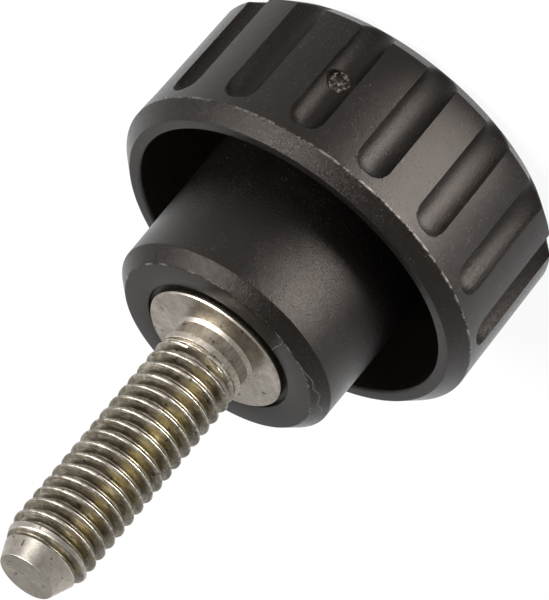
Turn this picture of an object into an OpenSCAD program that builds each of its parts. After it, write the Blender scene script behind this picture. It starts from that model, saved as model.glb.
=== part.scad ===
// Knurled head screw: a moulded thermoplastic hand knob with sixteen grip flutes
// and a turned stainless steel stud, M6 x 20, moulded into its hub.
// The part stands on the flat end of its head: Z = 0 is that flat, and +Z runs
// along the screw towards its tip. Millimetres.

/* [Head] */
// Diameter of the head at its parting line
head_d = 26.1; // [22:0.1:34]
// Height of the parting line above the flat end
parting_h = 10; // [8.5:0.1:13]
// Draft of the grip surface, from the parting line to the flat end, in degrees
draft = 1.5; // [0.5:0.1:3]
// Width of the chamfer round the flat end, measured across the radius
end_chamfer = 1; // [0.5:0.05:1.4]
// Height of that chamfer
end_chamfer_h = 0.9; // [0.5:0.05:1.4]
// Width of the chamfer below the parting line, measured across the radius
rim_chamfer = 0.96; // [0.5:0.01:1.2]
// Height of that chamfer
rim_chamfer_h = 1.05; // [0.6:0.05:1.5]
// Width of the flat ring at the mouth of the hollow
land_w = 0.82; // [0.5:0.01:1]

/* [Grip flutes] */
// Number of flutes round the head
flute_count = 16; // [9:1:18]
// Radius of the round-bottomed flute
flute_r = 1.2; // [0.8:0.05:1.3]
// How far the flute's centre line lies outside the parting line radius
flute_out = 0.02; // [0:0.01:0.3]
// Distance from the parting line to the closed end of a flute
flute_end = 0.7; // [0.5:0.05:2]
// Turn of the first flute about the axis, in degrees
flute_phase = -0.8; // [-12:0.1:12]

/* [Gate mark] */
// Diameter of the sunk injection point in one flute
gate_d = 1.5; // [1:0.1:1.8]
// Depth of the injection point below the bottom of the flute
gate_depth = 0.3; // [0.15:0.05:0.4]
// Height of the injection point above the flat end
gate_h = 4.65; // [3.5:0.05:6]
// Turn of the injection point from the middle of its flute, in degrees
gate_turn = 1.1; // [0:0.1:1.5]

/* [Hub and hollow] */
// Diameter of the central hub
hub_d = 15.84; // [13:0.02:18]
// Height of the hub's end face above the flat end of the head
hub_h = 18.6; // [14:0.1:24]
// Diameter of the hub's end face, inside its chamfer
hub_face_d = 14.1; // [12:0.02:16]
// Height of the hub's chamfer
hub_chamfer_h = 0.91; // [0.5:0.01:1.5]
// Thickness of the wall under the flat end
wall = 2.8; // [2:0.1:3.5]
// Draft of the walls of the hollow, in degrees
hollow_draft = 2; // [0.5:0.1:3]
// Fillet at the bottom of the hollow
hollow_r = 0.9; // [0.4:0.1:1.2]

/* [Steel stud] */
// Outside diameter of the thread
thread_d = 5.82; // [5:0.01:6]
// Length of the stud above its flange
stud_l = 20; // [12:0.5:40]
// Diameter of the flange
flange_d = 9.86; // [8.5:0.02:11]
// How far the flange stands above the hub's end face
flange_up = 0.35; // [0.1:0.05:0.8]
// Full thickness of the flange
flange_t = 0.7; // [0.6:0.05:1.5]
// Small chamfer at the flange's edge
flange_chamfer = 0.1; // [0.05:0.01:0.3]
// Width of the groove that the hub leaves round the flange
groove_w = 0.35; // [0.15:0.05:0.6]
// Depth of that groove below the hub's end face
groove_depth = 0.3; // [0.15:0.05:0.4]
// Diameter of the plain neck between flange and thread
neck_d = 5.26; // [4.5:0.02:5.8]
// Length of the neck
neck_l = 1.05; // [0.6:0.05:3]
// Chamfered fillet where the neck meets the flange
neck_fillet = 0.3; // [0.1:0.05:0.4]
// Diameter of the flat at the tip
tip_d = 3.88; // [3:0.02:4.8]
// Half angle of the tip's cone, in degrees
tip_angle = 21.8; // [15:0.1:45]

/* [Anchor in the hub] */
// Diameter of the anchor
anchor_d = 7; // [6:0.1:9]
// Length of the anchor below the flange
anchor_l = 10.5; // [6:0.5:12]
// Diameter of the retaining groove round the anchor
anchor_groove_d = 5.4; // [4.5:0.1:6]
// Distance between the two flats that stop the stud from turning
anchor_flats = 6; // [5:0.1:7]

/* [Hidden] */
$fn = 96;
eps = 0.5;
head_r = head_d / 2;
rim_h = parting_h + rim_chamfer_h;
land_out = head_r - rim_chamfer;
mouth_r = land_out - land_w;
lip_r = 0.15;
hub_r = hub_d / 2;
hub_face_r = hub_face_d / 2;
chamfer_r = head_r - (parting_h - end_chamfer_h) * tan(draft);
flange_z = hub_h + flange_up;
flange_r = flange_d / 2;
groove_r = flange_r + groove_w;
thread_r = thread_d / 2;
neck_r = neck_d / 2;
tip_r = tip_d / 2;
tip_z = flange_z + stud_l;
cone_h = (thread_r - tip_r) / tan(tip_angle);
tip_break = 0.08;
anchor_r = anchor_d / 2;
anchor_z = flange_z - flange_t - anchor_l;
hollow_out = mouth_r - lip_r - (rim_h - wall) * tan(hollow_draft);
hub_root = hub_r + (hub_h - wall) * tan(0.2);
knob_colour = [0.075, 0.072, 0.070];
steel_colour = [0.62, 0.59, 0.54];

// Points of an arc about (x, y), from angle a0 to a1
function arc(x, y, r, a0, a1, n = 8) =
    [for (i = [0:n]) let (a = a0 + (a1 - a0) * i / n) [x + r * cos(a), y + r * sin(a)]];

// Half section of the knob, before its flutes and the seat of the stud are cut
module knob_section() {
    polygon(concat(
        [[0, 0], [chamfer_r - end_chamfer, 0], [chamfer_r, end_chamfer_h], [head_r, parting_h], [land_out, rim_h]],
        arc(mouth_r, rim_h - lip_r, lip_r, 90, 180, 3),
        arc(hollow_out - hollow_r, wall + hollow_r, hollow_r, 0, -90, 5),
        arc(hub_root + hollow_r, wall + hollow_r, hollow_r, -90, -180, 5),
        [[hub_r, hub_h - hub_chamfer_h], [hub_face_r, hub_h], [0, hub_h]]
    ));
}

// One grip flute: a round-bottomed groove, open at the flat end and closed
// with a ball end short of the parting line
module flute() {
    reach = parting_h - flute_end - flute_r;
    translate([head_r + flute_out, 0, 0]) {
        translate([0, 0, -eps]) cylinder(r = flute_r, h = reach + eps, $fn = 48);
        translate([0, 0, reach]) sphere(r = flute_r, $fn = 48);
    }
}

// The sunk injection point, in the bottom of the flute next to the first
module gate_mark() {
    bottom = head_r + flute_out - flute_r;
    translate([bottom - gate_depth, 0, gate_h])
        rotate([0, 90, 0]) cylinder(d = gate_d, h = flute_r + gate_depth, $fn = 32);
}

// The part of the stud that the hub holds: the lower flange and the anchor,
// with its retaining groove and two flats
module anchor() {
    translate([0, 0, flange_z - flange_t]) cylinder(r = flange_r, h = flange_t - flange_chamfer);
    intersection() {
        translate([0, 0, anchor_z]) rotate_extrude()
            polygon([
                [0, 0], [anchor_r - 0.4, 0], [anchor_r, 0.4], [anchor_r, anchor_l * 0.45],
                [anchor_groove_d / 2, anchor_l * 0.55], [anchor_groove_d / 2, anchor_l * 0.75],
                [anchor_r, anchor_l * 0.85], [anchor_r, anchor_l + 0.2], [0, anchor_l + 0.2]
            ]);
        translate([-anchor_r, -anchor_flats / 2, anchor_z])
            cube([anchor_d, anchor_flats, anchor_l + 0.2]);
    }
}

// Moulded knob: fluted head, hollow behind the rim, and hub
module knob() {
    color(knob_colour) difference() {
        rotate(flute_phase + 180 / flute_count) rotate_extrude() knob_section();
        for (i = [0:flute_count - 1]) rotate(flute_phase + i * 360 / flute_count) flute();
        rotate(flute_phase + 360 / flute_count + gate_turn) gate_mark();
        translate([0, 0, hub_h - groove_depth]) cylinder(r = groove_r, h = groove_depth + eps);
        anchor();
    }
}

// Turned stud: anchor, flange, neck, thread body at its outside diameter, and cone
module stud() {
    color(steel_colour) {
        union() {
            anchor();
            translate([0, 0, flange_z]) rotate_extrude()
                polygon([
                    [0, -flange_chamfer], [flange_r, -flange_chamfer], [flange_r - flange_chamfer, 0],
                    [neck_r + neck_fillet, 0], [neck_r, neck_fillet], [neck_r, neck_l],
                    [thread_r, neck_l + (thread_r - neck_r)], [thread_r, stud_l - cone_h],
                    [tip_r + tip_break * tan(tip_angle), stud_l - tip_break],
                    [tip_r - tip_break, stud_l], [0, stud_l]
                ]);
        }
    }
}

knob();
stud();
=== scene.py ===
import math

import bpy
import numpy as np
from mathutils import Matrix, Vector, noise

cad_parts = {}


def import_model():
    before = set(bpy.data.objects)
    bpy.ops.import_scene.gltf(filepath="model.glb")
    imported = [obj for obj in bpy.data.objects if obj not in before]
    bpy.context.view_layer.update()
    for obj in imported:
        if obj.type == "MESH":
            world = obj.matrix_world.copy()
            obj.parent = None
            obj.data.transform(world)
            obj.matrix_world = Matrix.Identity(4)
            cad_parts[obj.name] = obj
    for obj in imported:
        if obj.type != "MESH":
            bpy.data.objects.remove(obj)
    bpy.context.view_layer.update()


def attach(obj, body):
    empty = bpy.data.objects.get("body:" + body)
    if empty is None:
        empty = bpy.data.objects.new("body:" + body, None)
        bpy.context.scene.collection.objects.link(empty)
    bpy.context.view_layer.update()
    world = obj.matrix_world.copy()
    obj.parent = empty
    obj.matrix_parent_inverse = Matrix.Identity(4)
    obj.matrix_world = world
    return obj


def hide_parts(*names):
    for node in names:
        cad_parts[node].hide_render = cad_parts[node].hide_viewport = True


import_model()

# ---------------------------------------------------------------- sizes
# Millimetres and degrees, with the values of the part's source.
# Head
HEAD_R, PARTING = 13.05, 10.0
DRAFT = math.radians(1.5)
END_W, END_H = 1.0, 0.9
RIM_H, LAND_OUT, MOUTH_R = 11.05, 12.09, 11.27
# Flutes: FLUTE_C is the radius at which their centre lines stand
FLUTES, FLUTE_R, FLUTE_C, FLUTE_PHASE, FLUTE_END = 16, 1.2, 13.07, -0.8, 0.7
FLUTE_STEP = 360 / FLUTES
FLUTE_REACH = PARTING - FLUTE_END - FLUTE_R
# Gate mark, in the bottom of one flute
GATE_H, GATE_R, GATE_DEPTH = 4.65, 0.75, 0.3
GATE_PHI = FLUTE_PHASE + FLUTE_STEP + 1.1
# Half height, half width in degrees, and points a side of the fine mesh round it
WINDOW_H, WINDOW_PHI, WINDOW_N = 1.0, 4.56, 72
# Hub and hollow
HUB_R, HUB_H, HUB_FACE, HUB_CHAMFER = 7.92, 18.6, 7.05, 0.91
WALL, HOLLOW_R, HOLLOW_FILLET, HUB_ROOT = 2.8, 10.83, 0.9, HUB_R + 0.055
# Flange and the groove round it
FLANGE_Z, FLANGE_R, FLANGE_T, FLANGE_CHAMFER = 18.95, 4.93, 0.7, 0.1
GROOVE_R, GROOVE_Z = 5.28, 18.3
# Neck, thread and tip
THREAD_R, NECK_R, TIP_R, STUD_L, PITCH = 2.91, 2.63, 1.94, 20.0, 1.0
TIP_Z = FLANGE_Z + STUD_L
TIP_TAN = math.tan(math.radians(21.8))
# Anchor in the hub
ANCHOR_Z, ANCHOR_L, ANCHOR_R, ANCHOR_G, FLATS = 7.75, 10.5, 3.5, 2.7, 3.0
AXIS_R = 0.3        # the innermost ring round a pole of the anchor

# What only the looks have
LIP = 0.14          # rounding where a flute meets the grip
SHARP = 50          # degrees at which an edge is drawn sharp
THREAD_DEPTH, CREST, FLANK_ANGLE = 0.61, 0.13, math.radians(30)
THREAD_START = 0.825 - FLANGE_Z      # where a crest passes angle 0, above the flange
RUN_OUT_Z, RUN_OUT_L = 1.42, 1.15    # the thread's run-out, above the flange
# The start of the thread: a lip above the neck, a taper and a few turning marks
START_Z = (1.10, 1.19, 1.23, 1.58, 1.62, 1.66, 1.70, 1.93, 1.97, 2.03, 2.08, 2.25)
START_R = (2.63, 2.85, 2.87, 2.73, 2.66, 2.68, 2.79, 2.83, 2.75, 2.75, 2.85, 2.95)
# A thin pale line on the hub's chamfer: angle and radius along it
CHAMFER_LINE = ((-83, 7.62), (-80, 7.59), (-73, 7.33), (-65.5, 7.46),
         (-59.5, 7.22), (-54, 7.29), (-45, 7.09), (-37, 7.05))

# Half section of the anchor, from its bottom up
ANCHOR = (
    (AXIS_R, ANCHOR_Z), (ANCHOR_R - 0.4, ANCHOR_Z), (ANCHOR_R, ANCHOR_Z + 0.4),
    (ANCHOR_R, ANCHOR_Z + ANCHOR_L * 0.45), (ANCHOR_G, ANCHOR_Z + ANCHOR_L * 0.55),
    (ANCHOR_G, ANCHOR_Z + ANCHOR_L * 0.75), (ANCHOR_R, ANCHOR_Z + ANCHOR_L * 0.85),
)


# ---------------------------------------------------------------- mesh helpers
def fillet(points, n=4):
    """Round the corners of a polyline of (r, z, radius) points, n steps to a corner."""
    out = []
    for i, (x, y, rad) in enumerate(points):
        if rad == 0 or i in (0, len(points) - 1):
            out.append((x, y))
            continue
        corner = np.array((x, y))
        a = np.array(points[i - 1][:2]) - corner
        b = np.array(points[i + 1][:2]) - corner
        la, lb = np.linalg.norm(a), np.linalg.norm(b)
        a, b = a / la, b / lb
        half = math.acos(max(-1, min(1, float(a @ b)))) / 2
        t = min(rad / math.tan(half), 0.49 * la, 0.49 * lb)
        r = t * math.tan(half)
        c = corner + (a + b) / np.linalg.norm(a + b) * (r / math.sin(half))
        a0 = math.atan2(*(corner + a * t - c)[::-1])
        a1 = math.atan2(*(corner + b * t - c)[::-1])
        d = (a1 - a0 + math.pi) % (2 * math.pi) - math.pi
        for k in range(n + 1):
            w = a0 + d * k / n
            out.append(tuple(c + r * np.array((math.cos(w), math.sin(w)))))
    return out


def refine(points, step):
    """Split long segments of a polyline so that none is longer than step."""
    out = [points[0]]
    for p, q in zip(points, points[1:]):
        n = max(1, math.ceil(math.dist(p, q) / step))
        out += [(p[0] + (q[0] - p[0]) * k / n, p[1] + (q[1] - p[1]) * k / n) for k in range(1, n + 1)]
    return out


def smin(a, b, k):
    """The smaller of two values, with the change rounded over a width k."""
    h = np.maximum(k - np.abs(a - b), 0) / k
    return np.minimum(a, b) - h * h * k / 4


def smax(a, b, k):
    return -smin(-a, -b, k)


def polar(r, phi, z):
    """Points at radius r, angle phi in degrees and height z."""
    r, phi, z = np.broadcast_arrays(r, np.radians(phi), z)
    return np.stack([r * np.cos(phi), r * np.sin(phi), z], -1)


def anchor_ring(r, phi, z):
    """A ring of the anchor, or of its seat, cut by the two flats."""
    return polar(np.minimum(r, FLATS / np.maximum(np.abs(np.sin(np.radians(phi))), 1e-6)), phi, z)


def ring_faces(rows, cols, base=0, skip=None):
    """Quads between rings of vertices, apart from those that skip(row, column) names."""
    faces = []
    for i in range(rows - 1):
        for j in range(cols):
            if skip and skip(i, j):
                continue
            a, b = base + i * cols + j, base + i * cols + (j + 1) % cols
            faces.append((a, b, b + cols, a + cols))
    return faces


def close_poles(verts, faces, cols, last, bottom, top):
    """Close the first ring and the ring that starts at last with a fan each."""
    k = len(verts)
    faces += [(k, (j + 1) % cols, j) for j in range(cols)]
    faces += [(k + 1, last + j, last + (j + 1) % cols) for j in range(cols)]
    return np.concatenate([verts, [(0, 0, bottom), (0, 0, top)]]), faces


def build(name, verts, faces):
    mesh = bpy.data.meshes.new(name)
    mesh.from_pydata([tuple(v) for v in np.asarray(verts) / 1000], [], faces)
    mesh.validate()
    mesh.update()
    mesh.shade_smooth()
    mesh.set_sharp_from_angle(angle=math.radians(SHARP))
    ob = bpy.data.objects.new(name, mesh)
    bpy.context.scene.collection.objects.link(ob)
    return ob


def tri_count(ob):
    return sum(len(p.vertices) - 2 for p in ob.data.polygons)


# ---------------------------------------------------------------- knob
def side_radius(z):
    return HEAD_R - (PARTING - z) * math.tan(DRAFT)


def lobe_profile():
    """The outside of the head from the middle of its flat end to the parting line."""
    top = side_radius(END_H)
    end = fillet([(0.4, 0, 0), (top - END_W, 0, 0.10), (top, END_H, 0.12), (side_radius(2.0), 2.0, 0)], 3)
    pts = [(0.4, 0), (4, 0), (8, 0), (11.0, 0)] + end[1:5]
    pts += [(top - END_W * (1 - t), END_H * t) for t in (0.3, 0.5, 0.7)] + end[5:-1]
    low, high = FLUTE_REACH - 0.1, PARTING - 0.55
    zs = list(np.linspace(pts[-1][1], low, 8))[1:] + list(np.linspace(low, high, 20))[1:]
    zs += [PARTING - 0.4, PARTING - 0.25, PARTING - 0.12]
    return pts + [(side_radius(z), z) for z in zs]


def grip_radius(phi, r, z):
    """Radius of the grip: r, or the wall of the nearest flute where there is one."""
    d = np.radians((phi - FLUTE_PHASE + FLUTE_STEP / 2) % FLUTE_STEP - FLUTE_STEP / 2)
    q = FLUTE_R ** 2 - (FLUTE_C * np.sin(d)) ** 2 - np.maximum(z - FLUTE_REACH, 0) ** 2
    wall = FLUTE_C * np.cos(d) - np.sqrt(np.maximum(q, 0))
    return np.where(q > 0, smin(r, wall, LIP), r)


def knob_columns():
    """Angles of the columns, close together in each flute and at its lips."""
    half = math.degrees(math.asin(FLUTE_R / FLUTE_C))
    stops = [-half + 0.6, half - 0.6, half + 0.5, FLUTE_STEP - half - 0.5, FLUTE_STEP - half + 0.6]
    one = []
    for a, b, n in zip(stops, stops[1:], (15, 10, 9, 10)):
        one += list(np.linspace(a, b, n + 1))[:-1]
    return np.array([FLUTE_PHASE + FLUTE_STEP * k + a for k in range(FLUTES) for a in one])


def gate_window(phi, z):
    """A fine patch of the grip with the sunk and torn gate mark in it."""
    A, Z = np.meshgrid(phi, z)
    X = np.radians(A - GATE_PHI) * (FLUTE_C - FLUTE_R)
    Y = Z - GATE_H
    t = np.clip((np.hypot(X, Y * 0.96) - 0.62) / 0.14, 0, 1)
    well = 1 - t * t * (3 - 2 * t)
    lump = np.array([[noise.fractal(Vector((x * 2.6, y * 2.6, 3.1)), 0.7, 2.1, 4) for x, y in zip(*row)]
                     for row in zip(X, Y)])
    torn = np.clip(0.55 + 1.2 * (X * 0.6 - Y * 0.75) / GATE_R, 0, 1)
    R = grip_radius(A, side_radius(Z), Z) + well * (torn * (0.16 + 0.34 * lump) - GATE_DEPTH)
    return polar(R, A, Z).reshape(-1, 3)


def make_knob():
    phi = knob_columns()
    cols = len(phi)
    outer = lobe_profile()
    rest = refine(fillet([
        (side_radius(PARTING - 0.1), PARTING - 0.1, 0), (HEAD_R, PARTING, 0.05), (LAND_OUT, RIM_H, 0.07),
        (MOUTH_R, RIM_H, 0.2), (HOLLOW_R, WALL, HOLLOW_FILLET), (HUB_ROOT, WALL, HOLLOW_FILLET),
        (HUB_R, HUB_H - HUB_CHAMFER, 0.12), (HUB_FACE, HUB_H, 0.07), (GROOVE_R, HUB_H, 0.05),
        (GROOVE_R - 0.02, GROOVE_Z, 0), (FLANGE_R, GROOVE_Z, 0), (FLANGE_R, GROOVE_Z - 0.1, 0),
        (ANCHOR_R, GROOVE_Z - 0.1, 0),
    ] + [(r, z, 0) for r, z in reversed(ANCHOR)]), 1.6)
    rings = [polar(grip_radius(phi, r, z) if r > 10.5 else r, phi, z) for r, z in outer]
    rings += [(anchor_ring if z < GROOVE_Z - 0.15 and r < 4.0 else polar)(r, phi, z) for r, z in rest]
    verts = np.concatenate(rings)
    # the window round the gate mark is left out here, and drawn again with n x n points
    n = WINDOW_N
    zrow = np.array([z for _, z in outer] + [99] * len(rest))
    lo = max(i for i in range(len(outer)) if zrow[i] < GATE_H - WINDOW_H)
    hi = min(i for i in range(len(outer)) if zrow[i] > GATE_H + WINDOW_H)
    inside = [j for j in range(cols) if abs(phi[j] - GATE_PHI) < WINDOW_PHI]
    j0, j1 = min(inside), max(inside)
    faces = ring_faces(len(rings), cols, skip=lambda i, j: lo <= i < hi and j0 <= j < j1)
    base = len(verts)
    patch = gate_window(np.linspace(phi[j0], phi[j1], n), np.linspace(zrow[lo], zrow[hi], n))
    verts = np.concatenate([verts, patch])
    for a in (base + i * n + j for i in range(n - 1) for j in range(n - 1)):
        faces.append((a, a + 1, a + n + 1, a + n))
    verts, faces = close_poles(verts, faces, cols, (len(rings) - 1) * cols, 0, ANCHOR_Z)
    return build("moulded_knob", verts, faces)


# ---------------------------------------------------------------- stud
def thread_depth(phi, z):
    """Depth of the thread below its crest; z is measured from the flange."""
    turn = (z - THREAD_START - phi / 360.0) / PITCH
    d = np.abs((turn + 0.5) % 1 - 0.5) * PITCH
    run_out = THREAD_DEPTH * (1 - np.clip((z - RUN_OUT_Z) / RUN_OUT_L, 0, 1))
    flank = (d - CREST / 2) / math.tan(FLANK_ANGLE) - run_out
    return smin(smax(flank, np.zeros_like(flank), 0.07), np.maximum(THREAD_DEPTH - run_out, 0), 0.06)


def stud_radius(phi, z):
    """Radius of the threaded part and its cone at a height above the flange."""
    r = np.minimum(THREAD_R - thread_depth(phi, z), np.interp(z, START_Z, START_R))
    cone = TIP_R + (STUD_L - z) * TIP_TAN
    return np.where(z > 16.5, smin(r, cone, 0.03), r)


def make_stud():
    cols = 120
    phi = np.arange(cols) * 360 / cols
    top = FLANGE_Z
    neck = refine(fillet([
        (ANCHOR_R + 0.01, top - FLANGE_T, 0), (FLANGE_R, top - FLANGE_T, 0.03),
        (FLANGE_R, top - FLANGE_CHAMFER, 0.03), (FLANGE_R - FLANGE_CHAMFER, top, 0.05),
        (NECK_R + 0.25, top, 0.03), (NECK_R + 0.02, top + 0.24, 0.1), (NECK_R, top + 1.10, 0.02),
        (2.83, top + 1.18, 0)]), 0.5)
    rings = [anchor_ring(r, phi, z) for r, z in ANCHOR + ((ANCHOR_R, top - FLANGE_T),)]
    rings += [polar(r, phi, z) for r, z in neck[1:]]
    faces = ring_faces(len(rings), cols)
    low_ring, first = (len(rings) - 1) * cols, len(rings) * cols

    # the thread's rows follow its helix: K of them to a turn, and a row that has
    # gone round once goes on in the row K above it
    z_lo, z_hi = 1.18, 19.86
    half = [0.045, 0.06, 0.075, 0.095, 0.15, 0.22, 0.29, 0.36, 0.395, 0.415, 0.435, 0.46]
    cut = [-f for f in reversed(half)] + [0.0] + half + [0.5]
    K = len(cut)
    Z = np.array([n + f for n in range(-2, int(z_hi) + 3) for f in cut]) + THREAD_START % 1
    Z = Z[:, None] + phi[None, :] / 360
    used = (Z > z_lo + 1e-4) & (Z < z_hi - 1e-4)
    index = np.full(Z.shape, -1)
    index[used] = first + np.arange(used.sum())
    a, z = np.broadcast_to(phi[None, :], Z.shape)[used], Z[used]
    # small wear on the crests, from noise that is the same in each run
    wear = np.array([noise.noise(Vector((math.cos(w) * 9, math.sin(w) * 9, h * 2.7)))
                     for w, h in zip(np.radians(a), z)])
    r = stud_radius(a, z)
    r = r + 0.012 * np.clip(wear - 0.1, -0.6, 0) * np.clip((r - 2.7) / 0.2, 0, 1) * (z < 17.5)
    rings.append(polar(r, a, top + z))
    high_ring = first + len(a)
    tip = ((TIP_R + (STUD_L - z_hi) * TIP_TAN, z_hi), (TIP_R + 0.036, STUD_L - 0.09),
           (TIP_R + 0.018, STUD_L - 0.05), (TIP_R - 0.01, STUD_L - 0.02), (TIP_R - 0.05, STUD_L - 0.004),
           (TIP_R - 0.09, STUD_L), (1.5, STUD_L), (1.0, STUD_L), (0.5, STUD_L))
    rings += [polar(r, phi, top + z) for r, z in tip]

    def vertex(m, j):
        """The vertex at helix row m and column j, or the end ring's where the row is past it."""
        if j == cols:
            m, j = m + K, 0
        z = Z[m, j] if m < len(Z) else 99
        if z <= z_lo + 1e-4:
            return low_ring + j
        return high_ring + j if z >= z_hi - 1e-4 else int(index[m, j])

    for m in range(len(Z) - 1):
        if Z[m + 1].max() <= z_lo or Z[m].min() >= z_hi:
            continue
        for j in range(cols):
            corners = (vertex(m, j), vertex(m, j + 1), vertex(m + 1, j + 1), vertex(m + 1, j))
            corners = tuple(dict.fromkeys(corners))
            if len(corners) > 2:
                faces.append(corners)
    faces += ring_faces(len(tip), cols, base=high_ring)
    verts, faces = close_poles(np.concatenate(rings), faces, cols,
                               high_ring + (len(tip) - 1) * cols, ANCHOR_Z, top + STUD_L)
    return build("threaded_stud", verts, faces)


# ---------------------------------------------------------------- materials
class Nodes:
    """Short ways to write a shader's nodes. Values may be numbers or sockets."""

    def __init__(self, tree):
        self.t = tree
        tree.nodes.clear()

    def new(self, kind, ins, **props):
        n = self.t.nodes.new(kind)
        for k, v in props.items():
            setattr(n, k, v)
        for k, v in ins.items():
            if isinstance(v, bpy.types.NodeSocket):
                self.t.links.new(v, n.inputs[k])
            else:
                n.inputs[k].default_value = v
        return n

    def output(self, kind, shader):
        self.new(kind, {0: shader.outputs[0]})

    def math(self, op, a, b=0.0, c=0.0, clamp=False):
        return self.new("ShaderNodeMath", {0: a, 1: b, 2: c}, operation=op, use_clamp=clamp).outputs[0]

    def add(self, a, b):
        return self.math("ADD", a, b)

    def sub(self, a, b):
        return self.math("SUBTRACT", a, b)

    def mul(self, a, *others):
        for b in others:
            a = self.math("MULTIPLY", a, b)
        return a

    def line(self, v, slope, offset, clamp=False):
        return self.math("MULTIPLY_ADD", v, slope, offset, clamp)

    def blend(self, a, b, share):
        """That share of a, and the rest of b."""
        return self.line(a, share, self.mul(b, 1 - share))

    def rise(self, v, lo, hi):
        """0 up to lo and 1 from hi, with a smooth step between."""
        return self.new("ShaderNodeMapRange", {0: v, 1: lo, 2: hi, 3: 0.0, 4: 1.0},
                        interpolation_type="SMOOTHSTEP", clamp=True).outputs[0]

    def fall(self, v, lo, hi):
        return self.sub(1.0, self.rise(v, lo, hi))

    def near(self, v, at, lo, hi):
        """1 within lo of the value at, and 0 from hi."""
        return self.fall(self.math("ABSOLUTE", self.sub(v, at)), lo, hi)

    def mix(self, fac, a, b):
        return self.new("ShaderNodeMix", {0: fac, 6: a, 7: b}, data_type="RGBA").outputs[2]

    def ramp(self, fac, *stops):
        n = self.new("ShaderNodeValToRGB", {0: fac})
        e = n.color_ramp.elements
        while len(e) < len(stops):
            e.new(0.5)
        for el, (p, c) in zip(e, stops):
            el.position = p
            el.color = (*c, 1)
        return n.outputs[0]

    def vector(self, x, y, z):
        return self.new("ShaderNodeCombineXYZ", {0: x, 1: y, 2: z}).outputs[0]

    def noise(self, vec, scale, detail, rough, dims="3D"):
        return self.new("ShaderNodeTexNoise", {
            "Vector": vec, "Scale": scale, "Detail": detail, "Roughness": rough},
            noise_dimensions=dims).outputs[0]

    def place(self):
        """Object coordinates in millimetres: the vector, x, y, height and radius."""
        obj = self.new("ShaderNodeTexCoord", {}).outputs["Object"]
        mm = self.new("ShaderNodeVectorMath", {0: obj, 3: 1000.0}, operation="SCALE").outputs[0]
        x, y, z = self.new("ShaderNodeSeparateXYZ", {0: mm}).outputs
        return mm, x, y, z, self.math("SQRT", self.add(self.mul(x, x), self.mul(y, y)))


def material(name):
    m = bpy.data.materials.new(name)
    m.use_nodes = True
    return m, Nodes(m.node_tree)


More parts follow.
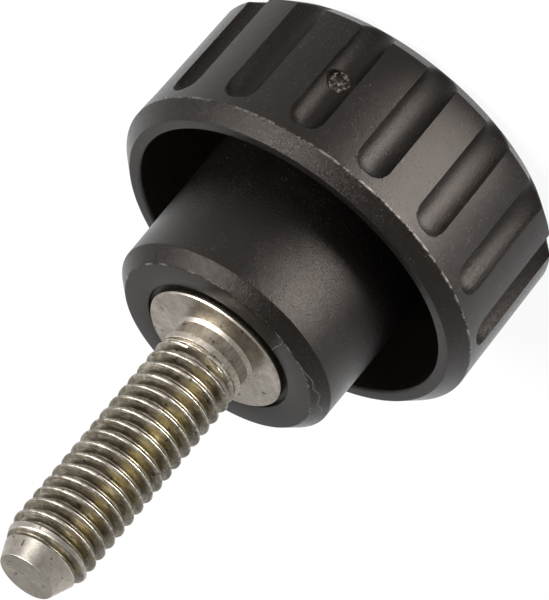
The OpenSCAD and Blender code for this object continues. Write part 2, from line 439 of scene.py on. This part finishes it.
def plastic():
    m, g = material("moulded_black_plastic")
    mm, x, y, z, r = g.place()
    turn = g.math("ARCTAN2", y, x)
    grain = g.noise(mm, 8.5, 2.0, 0.7)
    mid = g.noise(mm, 2.2, 3.0, 0.55)
    big = g.noise(mm, 0.35, 2.0, 0.5)
    crumb = g.noise(mm, 6.0, 2.0, 0.7)
    patch = g.noise(mm, 0.9, 2.0, 0.6)

    # crumbs of flash along the parting line, more of them on the -Y side
    part = g.mul(g.near(z, PARTING - 0.02, 0.02, 0.10), g.rise(r, 12.7, 12.85),
                 g.rise(g.blend(patch, crumb, 0.5), 0.47, 0.60), g.line(g.fall(y, -2.0, 5.0), 0.28, 0.24))
    # and along the edge of the hub's face
    hub_edge = g.mul(g.near(z, HUB_H, 0.02, 0.08), g.near(r, HUB_FACE, 0.02, 0.08),
                     g.rise(g.blend(patch, crumb, 0.6), 0.48, 0.62), 0.35)

    # a thin pale line on the hub's chamfer, along the points listed at the top
    from_phi, span = -86, 50
    low_r, band = 7.0, 0.9
    along = g.line(turn, math.degrees(1) / span, -from_phi / span, clamp=True)
    at = g.ramp(along, *(((a - from_phi) / span, ((q - low_r) / band,) * 3) for a, q in CHAMFER_LINE))
    at = g.line(g.new("ShaderNodeSeparateColor", {0: at}).outputs[0], band, low_r)
    chamfer_line = g.mul(g.near(r, at, 0.0, 0.055), g.rise(along, 0.04, 0.06), g.fall(along, 0.94, 0.98),
                  g.rise(z, HUB_H - 0.8, HUB_H - 0.7))
    # and a thin pale line across the hub's face, from the flange outward
    path = g.sub(g.line(r, 0.058, -0.838), g.mul(g.math("SINE", g.mul(r, 5.0)), 0.006))
    away = g.mul(g.math("ABSOLUTE", g.sub(turn, path)), r)
    face_line = g.mul(g.fall(away, 0.02, 0.05), g.rise(z, HUB_H - 0.05, HUB_H - 0.02),
                 g.rise(r, FLANGE_R + 0.2, FLANGE_R + 0.4))
    pale_lines = g.mul(g.math("MAXIMUM", chamfer_line, face_line), g.line(crumb, 0.5, -0.05))
    scuff = g.math("MAXIMUM", g.math("MAXIMUM", part, hub_edge), pale_lines)

    # the black itself, with specks of dust: darker than real plastic, fitted under these lamps
    col = g.ramp(g.blend(big, mid, 0.5), (0.3, (0.0036, 0.0030, 0.0027)), (0.7, (0.0062, 0.0052, 0.0046)))
    dust = g.mul(g.rise(grain, 0.65, 0.74), g.rise(big, 0.35, 0.60), 0.8)
    col = g.mix(dust, col, (0.085, 0.076, 0.066, 1))
    # the walls of the hollow are painted lighter, fitted to the photograph's shadows: painted light that
    # lifts the shade in the hollow
    depth = g.math("MAXIMUM", g.sub(r, 0.4), z)
    hollow_painted_light = g.mul(g.rise(r, HUB_R + 0.1, HUB_R + 0.4), g.fall(depth, MOUTH_R - 0.5, MOUTH_R - 0.3),
                   g.rise(z, WALL - 0.3, WALL - 0.1), 0.8)
    col = g.mix(hollow_painted_light, col, (0.026, 0.0215, 0.018, 1))
    # the sunk gate mark is torn inside
    gate_r, gate_a = FLUTE_C - FLUTE_R - 0.1, math.radians(GATE_PHI)
    gate = (gate_r * math.cos(gate_a), gate_r * math.sin(gate_a), GATE_H)
    away = g.new("ShaderNodeVectorMath", {0: mm, 1: gate}, operation="DISTANCE").outputs["Value"]
    torn = g.ramp(g.noise(mm, 5.0, 2.0, 0.6), (0.42, (0.010, 0.008, 0.006)), (0.54, (0.040, 0.033, 0.028)),
                  (0.64, (0.20, 0.18, 0.16)))
    col = g.mix(g.fall(away, 0.62, 0.76), col, torn)
    col = g.mix(scuff, col, (0.26, 0.232, 0.205, 1))

    # the hub's face was moulded smoother than the rest
    on_face = g.rise(z, HUB_H - 0.04, HUB_H - 0.02)
    rough = g.add(g.line(mid, 0.10, g.line(on_face, -0.02, 0.20)), g.mul(scuff, 0.2))
    height = g.add(g.mul(grain, g.line(on_face, -0.8, 1.0)), g.mul(mid, 0.1))
    height = g.add(height, g.mul(scuff, 0.8))
    bump = g.new("ShaderNodeBump", {"Strength": 0.9, "Distance": 0.00005, "Height": height})
    # a tint below 1 is not physical: it was fitted to the photograph's reflections
    g.output("ShaderNodeOutputMaterial", g.new("ShaderNodeBsdfPrincipled", {
        "Base Color": col, "Roughness": rough, "IOR": 1.5, "Specular Tint": (0.37, 0.322, 0.288, 1),
        "Normal": bump.outputs[0]}))
    return m


def steel():
    m, g = material("turned_stainless")
    mm, x, y, z, r = g.place()
    big = g.noise(mm, 0.6, 3.0, 0.6)
    mid = g.noise(mm, 2.4, 4.0, 0.65)
    fine = g.noise(mm, 8.0, 3.0, 0.6)
    mottle = g.blend(big, mid, 0.45)
    # lines left by the dies: along the thread, and along the axis on the neck
    lay = g.line(g.math("ARCTAN2", y, x), -PITCH / (2 * math.pi), z)
    streak = g.noise(g.vector(g.mul(x, 0.35), g.mul(y, 0.35), g.mul(lay, 3.2)), 2.6, 3.0, 0.7)
    neck_streak = g.noise(g.vector(x, y, g.mul(z, 0.25)), 5.0, 2.0, 0.6)
    rings = g.noise(g.vector(r, z, 0.0), 9.0, 2.0, 0.6, dims="2D")

    # where each part of the stud is
    on_thread = g.rise(z, FLANGE_Z + 1.5, FLANGE_Z + 2.9)
    on_neck = g.mul(g.rise(z, FLANGE_Z + 0.01, FLANGE_Z + 0.3), g.fall(z, FLANGE_Z + 1.6, FLANGE_Z + 2.6))
    on_flat = g.rise(z, TIP_Z - 0.03, TIP_Z - 0.01)
    past_cone = g.sub(r, g.line(z, -TIP_TAN, TIP_R + TIP_Z * TIP_TAN))
    on_tip = g.math("MAXIMUM", g.rise(past_cone, -0.05, -0.01), on_flat)

    # each part of the stud has its own colours, fitted to the photograph's brightness:
    # the flange and the neck
    clean = g.ramp(mottle, (0.36, (0.29, 0.259, 0.215)), (0.52, (0.37, 0.334, 0.283)),
                   (0.64, (0.45, 0.413, 0.362)))
    neck = g.ramp(neck_streak, (0.40, (0.30, 0.27, 0.228)), (0.60, (0.50, 0.455, 0.39)))
    clean = g.mix(g.mul(on_neck, 0.7), clean, neck)
    # the thread: darker and brown on its flanks and in its grooves, which is painted shade, and lighter on
    # its crests, which is a painted highlight, with an olive patch that is a painted reflection
    flank = g.ramp(mottle, (0.36, (0.112, 0.095, 0.070)), (0.52, (0.172, 0.150, 0.117)),
                   (0.64, (0.250, 0.222, 0.180)))
    # painted reflection: an olive patch on the side of the thread towards +X and -Y
    olive_painted_reflection = g.mul(g.fall(y, -0.7, 0.5), g.rise(x, 0.4, 1.6), g.rise(big, 0.34, 0.60), 0.75)
    flank = g.mix(olive_painted_reflection, flank, (0.180, 0.157, 0.084, 1))
    flank = g.mix(g.mul(g.rise(streak, 0.52, 0.66), 0.6), flank, (0.40, 0.365, 0.30, 1))
    flank = g.mix(g.mul(g.fall(streak, 0.34, 0.46), 0.55), flank, (0.085, 0.070, 0.050, 1))
    # painted highlight: the crests are lighter than the flanks
    crest_painted_highlight = g.ramp(mid, (0.38, (0.15, 0.134, 0.112)), (0.60, (0.38, 0.352, 0.305)))
    thread = g.mix(g.rise(r, 2.80, 2.895), flank, crest_painted_highlight)
    # the cone and the flat of the tip
    cone = g.ramp(mottle, (0.36, (0.34, 0.308, 0.267)), (0.64, (0.50, 0.457, 0.405)))
    flat = g.ramp(mottle, (0.36, (0.25, 0.225, 0.190)), (0.64, (0.35, 0.319, 0.27)))
    col = g.mix(on_tip, g.mix(on_thread, clean, thread), g.mix(on_flat, cone, flat))
    # dark pits
    pits = g.rise(g.noise(mm, 2.6, 1.0, 0.4), 0.70, 0.74)
    col = g.mix(g.mul(pits, 0.75), col, (0.035, 0.028, 0.02, 1))

    rough = g.add(g.line(on_neck, 0.14, 0.22), g.mul(fine, 0.14))
    rough = g.line(on_thread, 0.07, rough)
    height = g.add(g.mul(rings, 0.8), g.mul(mid, 0.6))
    height = g.add(height, g.mul(streak, on_thread, 1.6))
    bump = g.new("ShaderNodeBump", {"Strength": 0.30, "Distance": 0.00002, "Height": height})
    around = g.new("ShaderNodeTangent", {}, direction_type="RADIAL", axis="Z")
    g.output("ShaderNodeOutputMaterial", g.new("ShaderNodeBsdfPrincipled", {
        "Base Color": col, "Metallic": 1.0, "Roughness": rough, "Anisotropic": 0.5,
        "Normal": bump.outputs[0], "Tangent": around.outputs[0]}))
    return m


# ---------------------------------------------------------------- build
knob = make_knob()
knob.data.materials.append(plastic())
stud = make_stud()
stud.data.materials.append(steel())
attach(knob, "root")
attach(stud, "root")
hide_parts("knob")
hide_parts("stud")
print("triangles", tri_count(knob), tri_count(stud))


# ---------------------------------------------------------------- stage, light, camera (metres)
def stage_floor():
    """A pale floor that looks white to the camera and in reflections, but lights as a pale one."""
    mesh = bpy.data.meshes.new("floor")
    h, z = 3.0, -0.00002
    mesh.from_pydata([(-h, -h, z), (h, -h, z), (h, h, z), (-h, h, z)], [], [(0, 1, 2, 3)])
    ob = bpy.data.objects.new("floor", mesh)
    bpy.context.scene.collection.objects.link(ob)
    m, g = material("pale_floor")
    ray = g.new("ShaderNodeLightPath", {}).outputs
    seen = g.math("MAXIMUM", ray["Is Camera Ray"],
                  g.math("MAXIMUM", ray["Is Glossy Ray"], ray["Is Transmission Ray"]))
    pale = g.new("ShaderNodeBsdfDiffuse", {"Color": (0.82, 0.82, 0.82, 1)})
    white = g.new("ShaderNodeEmission", {"Color": (1, 1, 1, 1), "Strength": 1.0})
    g.output("ShaderNodeOutputMaterial", g.new("ShaderNodeMixShader", {
        0: g.mul(seen, 0.92), 1: pale.outputs[0], 2: white.outputs[0]}))
    mesh.materials.append(m)


FRONT = (0.93, 0.18, 0.32)      # where the studio is darkest


def world():
    """A grey studio, lighter behind the part than in front of it."""
    w = bpy.data.worlds.new("studio")
    bpy.context.scene.world = w
    w.use_nodes = True
    g = Nodes(w.node_tree)
    way = g.new("ShaderNodeTexCoord", {}).outputs["Generated"]
    front = g.new("ShaderNodeVectorMath", {0: way, 1: FRONT},
                  operation="DOT_PRODUCT").outputs["Value"]
    level = g.ramp(g.line(front, 0.5, 0.5), (0.35, (0.74,) * 3), (0.85, (0.42,) * 3))
    g.output("ShaderNodeOutputWorld", g.new("ShaderNodeBackground", {"Color": level, "Strength": 1.0}))


def towards(az, el):
    az, el = math.radians(az), math.radians(el)
    return Vector((math.cos(az) * math.cos(el), math.sin(az) * math.cos(el), math.sin(el)))


def area(name, pos, turn, size_x, size_y, level):
    """A rectangular light at pos that shines along its own -Z, as bright as level all over."""
    d = bpy.data.lights.new(name, "AREA")
    d.shape = "RECTANGLE"
    d.size, d.size_y = size_x, size_y
    d.energy = level * 4 * size_x * size_y
    ob = bpy.data.objects.new(name, d)
    ob.location = pos
    ob.rotation_euler = turn
    ob.visible_camera = False
    bpy.context.scene.collection.objects.link(ob)


def softbox(name, az, el, size_x, size_y, level):
    """A light that faces the part from SOFTBOX_AWAY metres."""
    way = towards(az, el)
    area(name, MID + way * SOFTBOX_AWAY, (-way).to_track_quat("-Z", "Y").to_euler(), size_x, size_y, level)


# The levels were fitted to the photograph's highlights. They light the part at
# about twice a plain level, and the grip at more than three times.
MID, SOFTBOX_AWAY = Vector((0, 0, 0.015)), 0.5
stage_floor()
world()
softbox("left_softbox", 68, 52, 0.22, 0.22, 21.0)
softbox("low_softbox", 44, 15, 0.20, 0.13, 4.5)
# Light panels that lie on the floor in front and to the right of the part and shine
# up: distance of the near and far edge from the axis, azimuth, width and level
PANEL_UP = 0.0003
PANELS = (
    (0.0155, 0.023, -17, 0.0155, 7.5),
    (0.023, 0.034, -19, 0.0225, 9.0),
    (0.034, 0.056, -28.5, 0.031, 24.0),
)
for k, (near, far, az, width, level) in enumerate(PANELS):
    spot = towards(az, 0) * (near + far) / 2 + Vector((0, 0, PANEL_UP))
    area(f"floor_panel_{k}", spot, (math.pi, 0, math.radians(az)), far - near, width, level)

# Camera: a long lens at the photograph's angle, rolled as the photograph is
AIM, DISTANCE = Vector((0, -0.00088555, 0.0136775)), 0.9021302
ELEVATION, ROLL = 25.6419, math.radians(-140.2935)
FOCAL_PX, WIDTH_PX, SENSOR = 14555.65, 549, 36.0
back = towards(0, ELEVATION)
level_right = Vector((0, 1, 0))
right = level_right * math.cos(ROLL) + back.cross(level_right) * math.sin(ROLL)
lens = bpy.data.cameras.new("camera")
lens.sensor_fit = "HORIZONTAL"
lens.sensor_width = SENSOR
lens.lens = FOCAL_PX / WIDTH_PX * SENSOR
lens.clip_start, lens.clip_end = 0.05, 20.0
cam = bpy.data.objects.new("camera", lens)
turn = Matrix((right, back.cross(right), back)).transposed().to_4x4()
cam.matrix_world = Matrix.Translation(AIM + back * DISTANCE) @ turn
bpy.context.scene.collection.objects.link(cam)
bpy.context.scene.camera = cam

bpy.context.scene.view_settings.view_transform = "Standard"
